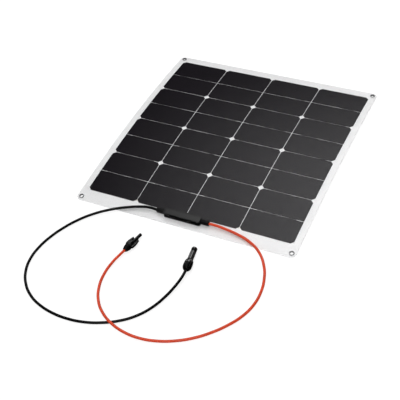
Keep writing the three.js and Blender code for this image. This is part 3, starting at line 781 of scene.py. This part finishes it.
def box_loop(inset, height):
    """The box's outline at one height above the film, drawn in by the inset."""
    corner = max(0.5, BOX_CORNER - inset)
    outline = rounded_rectangle(BOX_LENGTH - 2 * inset, BOX_WIDTH - 2 * inset, corner)
    return level_loop(outline, height)


def make_box_base():
    """The base, with a sunk floor inside its rim."""
    loops = [
        box_loop(0.4, 0.0),
        box_loop(0.0, 0.5),
        box_loop(0.0, 0.9),
        box_loop(0.25, BASE_TOP - 0.4),
        box_loop(0.55, BASE_TOP),
        box_loop(1.7, BASE_TOP),
        box_loop(2.0, BASE_TOP - 0.3),
        box_loop(2.1, 2.2),
        box_loop(2.5, 1.8),
    ]
    base = loft("box_base", loops, BOX_PLACE)
    add_piece(base, DULL_PLASTIC, "sheet", "black_plastic", "junction_box_base")


def make_box_cover():
    """The cover, with a lip that goes down into the base and a slightly sunk top."""
    loops = [
        box_loop(2.4, COVER_BOTTOM - 1.9),
        box_loop(2.4, COVER_BOTTOM),
        box_loop(0.5, COVER_BOTTOM),
        box_loop(0.1, COVER_BOTTOM + 0.3),
        box_loop(0.1, COVER_TOP - 0.7),
        box_loop(0.25, COVER_TOP - 0.3),
        box_loop(0.6, COVER_TOP - 0.06),
        box_loop(1.1, COVER_TOP),
        box_loop(2.6, COVER_TOP),
        box_loop(2.9, COVER_TOP - 0.25),
        box_loop(3.3, COVER_TOP - 0.25),
    ]
    cover = loft("box_cover", loops, BOX_PLACE)
    add_piece(cover, BLACK_PLASTIC, "box_cover", "black_plastic", "junction_box_cover")


def make_glands():
    """The blocky necks at the box's ends, each with a groove at its root and a slimmer tip."""
    # Each level is how far it stands out from the box, and how much slimmer it is there.
    levels = [
        (-1.0, 0.9), (1.1, 0.9), (1.4, 0.6), (1.6, 0.15), (2.0, 0.0),
        (17.7, 0.0), (18.2, 0.15), (18.5, 0.6), (18.8, 0.8), (19.9, 0.8), (20.2, 1.0), (20.3, 1.4),
    ]
    for name, turn in (("positive_gland", 0), ("negative_gland", math.pi)):
        loops = []
        for out, inset in levels:
            corner = GLAND_CORNER_RADIUS - inset / 2
            outline = rounded_rectangle(GLAND_WIDTH - 2 * inset, GLAND_HEIGHT - 2 * inset, corner)
            loops.append([(BOX_LENGTH / 2 + out, y, GLAND_AXIS_HEIGHT + z) for y, z in outline])
        boot = loft(f"{name}_boot", loops, BOX_PLACE @ Matrix.Rotation(turn, 4, "Z"))
        add_piece(boot, BLACK_RUBBER, "sheet", "black_rubber", name)


def make_box_bead_and_painted_shade():
    """The bead of adhesive that the box is bedded on. Its grey, a little wider than the box's foot,
    is partly painted shade round the foot.
    """
    loops = [box_loop(0.4, -0.2), box_loop(-0.7, -0.1), box_loop(-0.4, 0.3), box_loop(0.6, 0.45)]
    bead_with_shade = loft("box_bead_and_painted_shade", loops, BOX_PLACE)
    add_piece(bead_with_shade, BEAD_AND_PAINTED_SHADE, "sheet", "black_rubber")


make_box_base()
make_box_cover()
make_glands()
make_box_bead_and_painted_shade()

# ---- Plugs -------------------------------------------------------------------------------------


def plug_place(tail, heading, nose_down):
    """A matrix that puts a plug's tail there, with its own X along the heading."""
    turn = Matrix.Rotation(math.radians(heading), 4, "Z")
    dip = Matrix.Rotation(math.radians(nose_down), 4, "Y")
    return Matrix.Translation(Vector(tail) * MM) @ turn @ dip @ Matrix.Scale(MM, 4)


PROBE_PLACE = plug_place(PROBE_PLUG_TAIL, PROBE_PLUG_HEADING, 0)
SHELL_PLACE = plug_place(SHELL_PLUG_TAIL, SHELL_PLUG_HEADING, SHELL_PLUG_NOSE_DOWN)


FINGER_START = 22
FINGER_HALF_HEIGHT = 3
SLOT_INSIDE = 5.6
SLOT_HALF_HEIGHT = 3.3


def probe_housing(mirrored):
    """A collar, a ringed shoulder with a wing and a slot for a finger each side, and the probe."""
    tip = PROBE_PLUG_LENGTH
    profile = [
        (6, 2.8), (6, 5.6), (14.3, 5.6), (14.3, 7.5), (15.0, 8.0), (16.4, 8.0), (16.8, 7.5),
        (17.8, 7.5), (18.2, 8.0), (24, 8.0), (27, 7.4), (28, 6.8), (28.2, 3.7),
        (tip - 0.8, 3.6), (tip, 3.1), (tip, 2.8),
    ]
    housing = lathe("probe_housing", profile, PROBE_PLACE, round_off=0.35)
    wing = [(14.5, 4.5), (21.7, 4.5), (21.7, 10.5), (18.5, 10.4), (16, 9.8), (14.5, 8.6)]
    for place in (PROBE_PLACE, mirrored):
        added = bevelled_prism("wing", wing, -FINGER_HALF_HEIGHT, FINGER_HALF_HEIGHT, place, 0.5)
        combine(housing, added, "UNION")
        low, high = (21.7, SLOT_INSIDE, -SLOT_HALF_HEIGHT), (30, 12, SLOT_HALF_HEIGHT)
        slot = block("slot", low, high, place, 0.1)
        combine(housing, slot, "DIFFERENCE")
    return housing


def make_probe_plug():
    """A ribbed nut, the housing, two latch fingers, the contact inside and the sealing ring."""
    mirrored = PROBE_PLACE @ Matrix.Rotation(math.pi, 4, "X")
    nut_profile = [
        (0, 3.3), (0, 4.4), (1.0, 5.2), (5, 6.6), (8, 7.5), (10, 7.9), (14, 7.9),
        (14, 5.9), (5.8, 5.9), (4, 3.3),
    ]
    ribs = (12, 0.7, 3.0, 13.4, 5.8)
    nut = lathe("probe_nut", nut_profile, PROBE_PLACE, segments=96, ribs=ribs)
    add_piece(nut, NUT_PLASTIC, "probe_nut", "black_plastic", "probe_plug_nut")
    housing = probe_housing(mirrored)
    add_piece(housing, BLACK_PLASTIC, "sheet", "black_plastic", "probe_plug_housing")
    outline = [
        (FINGER_START, 6.1), (38.8, 6.1), (39, 6.6), (38.9, 7.5), (37.6, 8.4), (35.6, 8.5),
        (31, 9.6), (26, 10.5), (FINGER_START, 10.5),
    ]
    for side, place in (("left", PROBE_PLACE), ("right", mirrored)):
        name = f"probe_finger_{side}"
        node = f"probe_plug_finger_{side}"
        finger = bevelled_prism(name, outline, -FINGER_HALF_HEIGHT, FINGER_HALF_HEIGHT, place, 0.4)
        add_piece(finger, BLACK_PLASTIC, f"finger_{side}", "black_plastic", node)
    contact_profile = [(9, 1.3), (9, 2.5), (53, 2.5), (53, 2.0), (30, 2.0), (30, 1.3)]
    contact = lathe("probe_contact", contact_profile, PROBE_PLACE, segments=40, round_off=0.2)
    add_piece(contact, TINNED, "sheet", "tinned_copper", "probe_plug_contact")
    seal_profile = [(28.4, 3.7), (28.4, 4.6), (30.4, 4.6), (30.4, 3.7)]
    seal = lathe("probe_seal", seal_profile, PROBE_PLACE, segments=48)
    add_piece(seal, BLACK_RUBBER, "sheet", "black_rubber", "probe_plug_seal")


def cut_windows(obj):
    """The two windows that the other plug's fingers click into, cut right across the shell."""
    start, end = (SHELL_PLUG_LENGTH - distance for distance in SHELL_WINDOW_SPAN)
    tilted = SHELL_PLACE @ Matrix.Rotation(-math.radians(SHELL_WINDOW_TILT), 4, "X")
    side = SHELL_WINDOW_HALF_WIDTH
    window = block("window", (start, -side, -10), (end, side, 10), tilted, 0.3)
    combine(obj, window, "DIFFERENCE")


def make_shell_plug():
    """A ribbed nut, a shell with a dull band round its windows, and the pin inside."""
    tip = SHELL_PLUG_LENGTH
    nut_profile = [
        (0, 3.3), (0, 4.6), (0.8, 5.8), (2.4, 7.2), (5, 8.6), (8, 9.5), (11, 9.8), (17, 9.8),
        (17, 5.9), (5.8, 5.9), (4, 3.3),
    ]
    ribs = (14, 0.7, 4.4, 16.4, 6.2)
    nut = lathe("shell_nut", nut_profile, SHELL_PLACE, segments=112, ribs=ribs)
    add_piece(nut, NUT_PLASTIC, "shell_nut", "black_plastic", "shell_plug_nut")
    band_start, band_end = (tip - distance for distance in SHELL_BAND_SPAN)
    housing_profile = [
        (6, 2.9), (6, 5.6), (17.3, 5.6), (17.3, 9.4), (18.0, 9.65), (22, 9.3), (25, 8.8),
        (27.4, 7.9), (29.0, 6.9), (30, 6.35), (band_start - 0.2, 6.3), (band_start, 5.9),
        (band_end, 5.9), (band_end + 0.2, 6.3), (tip, 6.3), (tip, 3.9),
        (tip - 4, 3.9), (tip - 4, 4.8), (34, 4.8), (34, 2.9),
    ]
    housing = lathe("shell_housing", housing_profile, SHELL_PLACE, round_off=0.35)
    cut_windows(housing)
    add_piece(housing, GLOSSY_PLASTIC, "sheet", "black_plastic", "shell_plug_housing")
    band_profile = [(band_start, 5.95), (band_start, 6.25), (band_end, 6.25), (band_end, 5.95)]
    band = lathe("shell_band", band_profile, SHELL_PLACE, round_off=0.1)
    cut_windows(band)
    add_piece(band, NUT_PLASTIC, "sheet", "black_plastic")
    pin_profile = [(8, 0), (8, 2.5), (30, 2.5), (30.4, 2.0), (52, 2.0), (53.4, 1.2), (53.8, 0)]
    pin = lathe("shell_pin", pin_profile, SHELL_PLACE, segments=40, round_off=0.3, axis_ends=True)
    add_piece(pin, TINNED, "sheet", "tinned_copper", "shell_plug_contact")


make_probe_plug()
make_shell_plug()

# ---- The CAD nodes that stay -------------------------------------------------------------------

KEPT_NODES = {
    "cover_seal": BLACK_RUBBER,
    "bypass_diode": BLACK_PLASTIC,
    "positive_terminal": TINNED,
    "negative_terminal": TINNED,
    "positive_ribbon": TINNED,
    "negative_ribbon": TINNED,
}
for node_name, material in KEPT_NODES.items():
    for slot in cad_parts[node_name].material_slots:
        slot.material = material

# ---- Floor and light ---------------------------------------------------------------------------

# The band of glow lies round LIGHT_AXIS: it rises and falls with the angle from that direction,
# given here as the angle's cosine. It also gains strength with height, given as the height's sine.
# Inside the ring that the band makes, the room is darker than outside it.
LIGHT_AXIS = (0.754, 0.275, 0.596)
LIGHT_RISE = (0.17, 0.50)
LIGHT_FALL = (0.56, 0.72)
LIGHT_CLIMB = (0.30, 0.80)
LIGHT_AT_HORIZON = 0.22
LIGHT_BAND = 5.0
LIGHT_ELSEWHERE = 0.24
LIGHT_DARK_SIDE = 0.06
BACKDROP = (0.97, 0.97, 0.97)
FLOOR_HALF_SIZE = 12
FLOOR_COLOUR = 0.3
FLOOR_GLOW = 0.8
FLOOR_IN_GLOSS = 0.06
# A smaller glow, low on the left, draws the highlight along the plugs and the leads.
SIDE_GLOW_DIRECTION = (-0.84, 0.46, 0.31)
SIDE_GLOW_SPREAD = (0.93, 0.985)
SIDE_GLOW_STRENGTH = 2


def make_floor():
    """A pale table that glows. Glossy surfaces see it as dark, as if black flags stood by them."""
    colour = (FLOOR_COLOUR, FLOOR_COLOUR, FLOOR_COLOUR)
    material, tree, shader = new_material("floor", colour, 0.9, Specular_IOR_Level=0.0)
    shader.inputs["Emission Color"].default_value = (1, 1, 1, 1)
    shader.inputs["Emission Strength"].default_value = FLOOR_GLOW
    vary_colour(tree, shader, noise(tree, 3), scaled(colour, 0.99), scaled(colour, 1.01))
    flag = tree.nodes.new("ShaderNodeEmission")
    flag.inputs["Strength"].default_value = FLOOR_IN_GLOSS
    path = tree.nodes.new("ShaderNodeLightPath")
    mix = tree.nodes.new("ShaderNodeMixShader")
    output = next(node for node in tree.nodes if node.type == "OUTPUT_MATERIAL")
    tree.links.new(path.outputs["Is Glossy Ray"], mix.inputs["Fac"])
    tree.links.new(shader.outputs["BSDF"], mix.inputs[1])
    tree.links.new(flag.outputs["Emission"], mix.inputs[2])
    tree.links.new(mix.outputs["Shader"], output.inputs["Surface"])
    mesh = bpy.data.meshes.new("floor")
    size = FLOOR_HALF_SIZE
    corners = [(-size, -size, 0), (size, -size, 0), (size, size, 0), (-size, size, 0)]
    mesh.from_pydata(corners, [], [(0, 1, 2, 3)])
    mesh.materials.append(material)
    floor = bpy.data.objects.new("floor", mesh)
    bpy.context.scene.collection.objects.link(floor)


def smooth_step(tree, value, span, low, high):
    """The value's place in the span, smoothed, between low and high."""
    step = tree.nodes.new("ShaderNodeMapRange")
    step.interpolation_type = "SMOOTHSTEP"
    step.inputs["From Min"].default_value, step.inputs["From Max"].default_value = span
    step.inputs["To Min"].default_value = low
    step.inputs["To Max"].default_value = high
    tree.links.new(value, step.inputs["Value"])
    return step.outputs["Result"]


def combined(tree, operation, first, second):
    """Two values multiplied or added."""
    node = tree.nodes.new("ShaderNodeMath")
    node.operation = operation
    tree.links.new(first, node.inputs[0])
    tree.links.new(second, node.inputs[1])
    return node.outputs["Value"]


def nearness(tree, place, direction):
    """The cosine of the angle between the direction looked in and this one."""
    dot = tree.nodes.new("ShaderNodeVectorMath")
    dot.operation = "DOT_PRODUCT"
    dot.inputs[1].default_value = Vector(direction).normalized()
    tree.links.new(place, dot.inputs[0])
    return dot.outputs["Value"]


def make_light():
    """A soft studio: dim all round, with a broad band of glow that passes overhead and behind.

    A smaller glow stands on the left. The camera itself sees a pale backdrop in place of them.
    """
    world = bpy.data.worlds.new("studio")
    bpy.context.scene.world = world
    world.use_nodes = True
    tree = world.node_tree
    tree.nodes.clear()
    output = tree.nodes.new("ShaderNodeOutputWorld")
    glow = tree.nodes.new("ShaderNodeBackground")
    backdrop = tree.nodes.new("ShaderNodeBackground")
    backdrop.inputs["Color"].default_value = (*BACKDROP, 1)
    place = tree.nodes.new("ShaderNodeTexCoord").outputs["Generated"]
    parts = tree.nodes.new("ShaderNodeSeparateXYZ")
    path = tree.nodes.new("ShaderNodeLightPath")
    mix = tree.nodes.new("ShaderNodeMixShader")
    link = tree.links.new
    link(place, parts.inputs["Vector"])
    from_axis = nearness(tree, place, LIGHT_AXIS)
    rise = smooth_step(tree, from_axis, LIGHT_RISE, 0, 1)
    fall = smooth_step(tree, from_axis, LIGHT_FALL, 1, 0)
    climb = smooth_step(tree, parts.outputs["Z"], LIGHT_CLIMB, LIGHT_AT_HORIZON, 1)
    band = tree.nodes.new("ShaderNodeMath")
    band.operation = "MULTIPLY_ADD"
    band.inputs[1].default_value = LIGHT_BAND - LIGHT_ELSEWHERE
    elsewhere = smooth_step(tree, from_axis, LIGHT_FALL, LIGHT_ELSEWHERE, LIGHT_DARK_SIDE)
    link(elsewhere, band.inputs[2])
    ring = combined(tree, "MULTIPLY", rise, fall)
    link(combined(tree, "MULTIPLY", ring, climb), band.inputs[0])
    from_side = nearness(tree, place, SIDE_GLOW_DIRECTION)
    side = smooth_step(tree, from_side, SIDE_GLOW_SPREAD, 0, SIDE_GLOW_STRENGTH)
    link(combined(tree, "ADD", band.outputs["Value"], side), glow.inputs["Strength"])
    link(path.outputs["Is Camera Ray"], mix.inputs["Fac"])
    link(glow.outputs["Background"], mix.inputs[1])
    link(backdrop.outputs["Background"], mix.inputs[2])
    link(mix.outputs["Shader"], output.inputs["Surface"])


make_floor()
make_light()
bpy.context.scene.view_settings.view_transform = "Standard"
